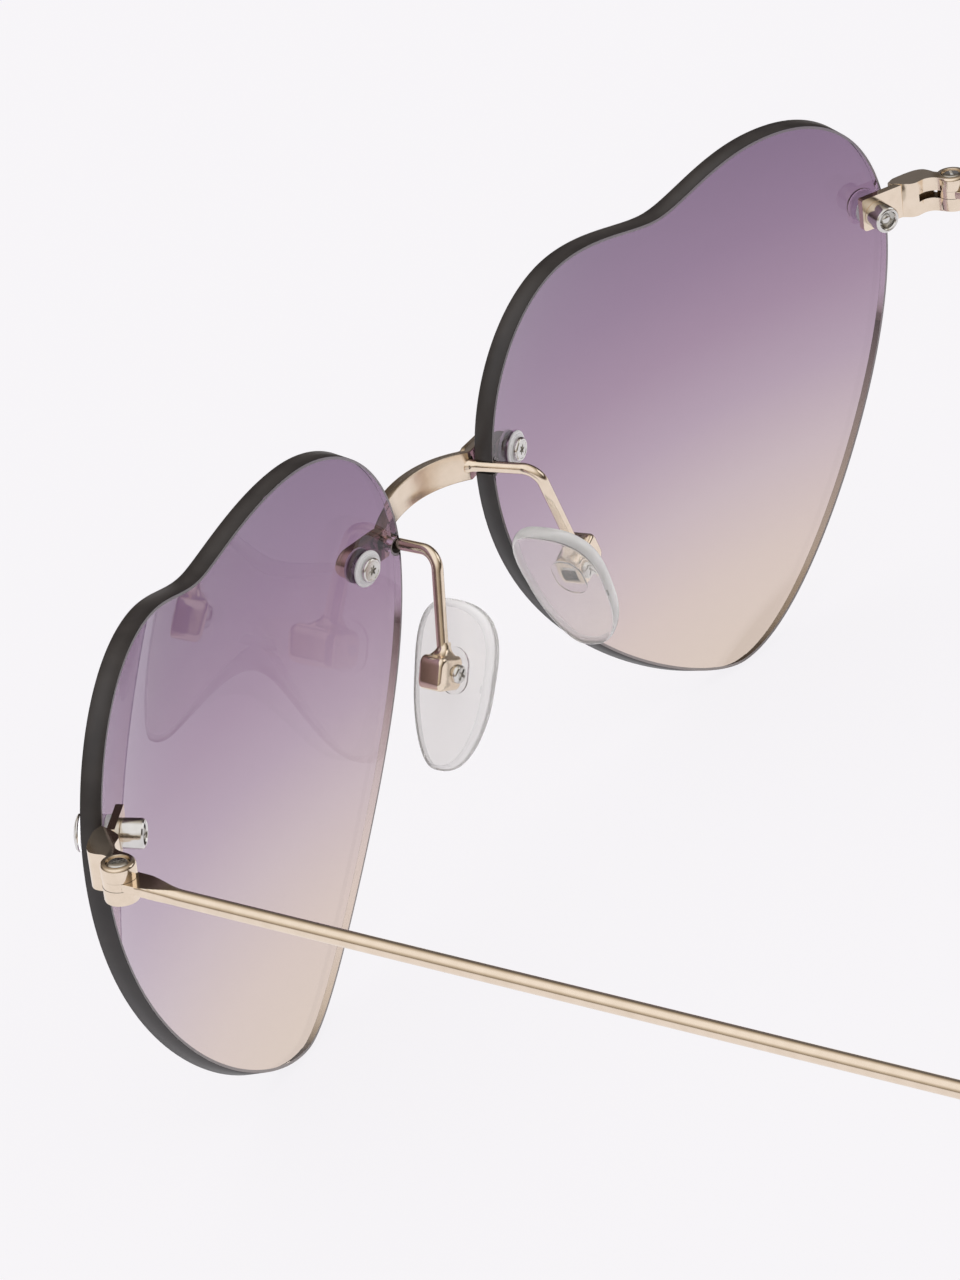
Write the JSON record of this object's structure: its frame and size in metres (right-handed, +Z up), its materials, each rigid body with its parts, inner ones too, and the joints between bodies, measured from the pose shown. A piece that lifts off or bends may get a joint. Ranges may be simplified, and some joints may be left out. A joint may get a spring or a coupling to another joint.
{
  "type": "rimless sunglasses",
  "caption": "Rimless sunglasses with heart shaped gradient lenses, a gold bridge, wire pad arms with rocking silicone pads, and folding wire temples.",
  "frame": {"origin": "on the surface that the glasses stand on, below the middle of their bounding box", "axes": "+X to the wearer's left, +Y to the rear along the open temples, +Z up"},
  "size_m": [0.1458, 0.145, 0.051],
  "materials": {
    "lens_tint": "clear tinted plastic, purple at the top fading to peach at the bottom, polished",
    "gold_metal": "polished pale gold plating",
    "steel": "polished",
    "clear_plastic": "clear",
    "silicone": "clear and slightly milky",
    "tip_plastic": "clear, polished"
  },
  "bodies": {
    "front": {"left_lens": "lens_tint", "right_lens": "lens_tint", "bridge": "gold_metal", "left_bridge_screw": "steel", "right_bridge_screw": "steel", "left_bridge_bush": "clear_plastic", "right_bridge_bush": "clear_plastic", "left_bridge_washer": "clear_plastic", "right_bridge_washer": "clear_plastic", "left_pad_arm": "gold_metal", "right_pad_arm": "gold_metal", "left_pad_screw": "steel", "right_pad_screw": "steel", "left_endpiece": "gold_metal", "right_endpiece": "gold_metal", "left_end_screw": "steel", "right_end_screw": "steel", "left_end_washer": "clear_plastic", "right_end_washer": "clear_plastic", "left_end_spacer": "clear_plastic", "right_end_spacer": "clear_plastic", "left_end_nut": "steel", "right_end_nut": "steel", "left_hinge_screw": "steel", "right_hinge_screw": "steel"},
    "left_side": {"left_temple": "gold_metal", "left_temple_tip": "tip_plastic"},
    "right_side": {"right_temple": "gold_metal", "right_temple_tip": "tip_plastic"},
    "left_pad": {"left_nose_pad": "silicone", "left_pad_core": "clear_plastic"},
    "right_pad": {"right_nose_pad": "silicone", "right_pad_core": "clear_plastic"}
  },
  "joints": [
    {"name": "left_fold", "type": "hinge", "parent": "front", "child": "left_side", "pos_m": [0.07102, -0.05354, 0.03826], "axis": [0, 0, 1], "range_deg": [0, 90]},
    {"name": "right_fold", "type": "hinge", "parent": "front", "child": "right_side", "pos_m": [-0.07102, -0.05354, 0.03826], "axis": [0, 0, -1], "range_deg": [0, 84]},
    {"name": "left_pad_rock", "type": "hinge", "parent": "front", "child": "left_pad", "pos_m": [0.01165, -0.0614, 0.02548], "axis": [0.0779, 0.9949, 0.0645], "range_deg": [-10, 10]},
    {"name": "right_pad_rock", "type": "hinge", "parent": "front", "child": "right_pad", "pos_m": [-0.01165, -0.0614, 0.02548], "axis": [0.0779, -0.9949, -0.0645], "range_deg": [-10, 10]}
  ]
}
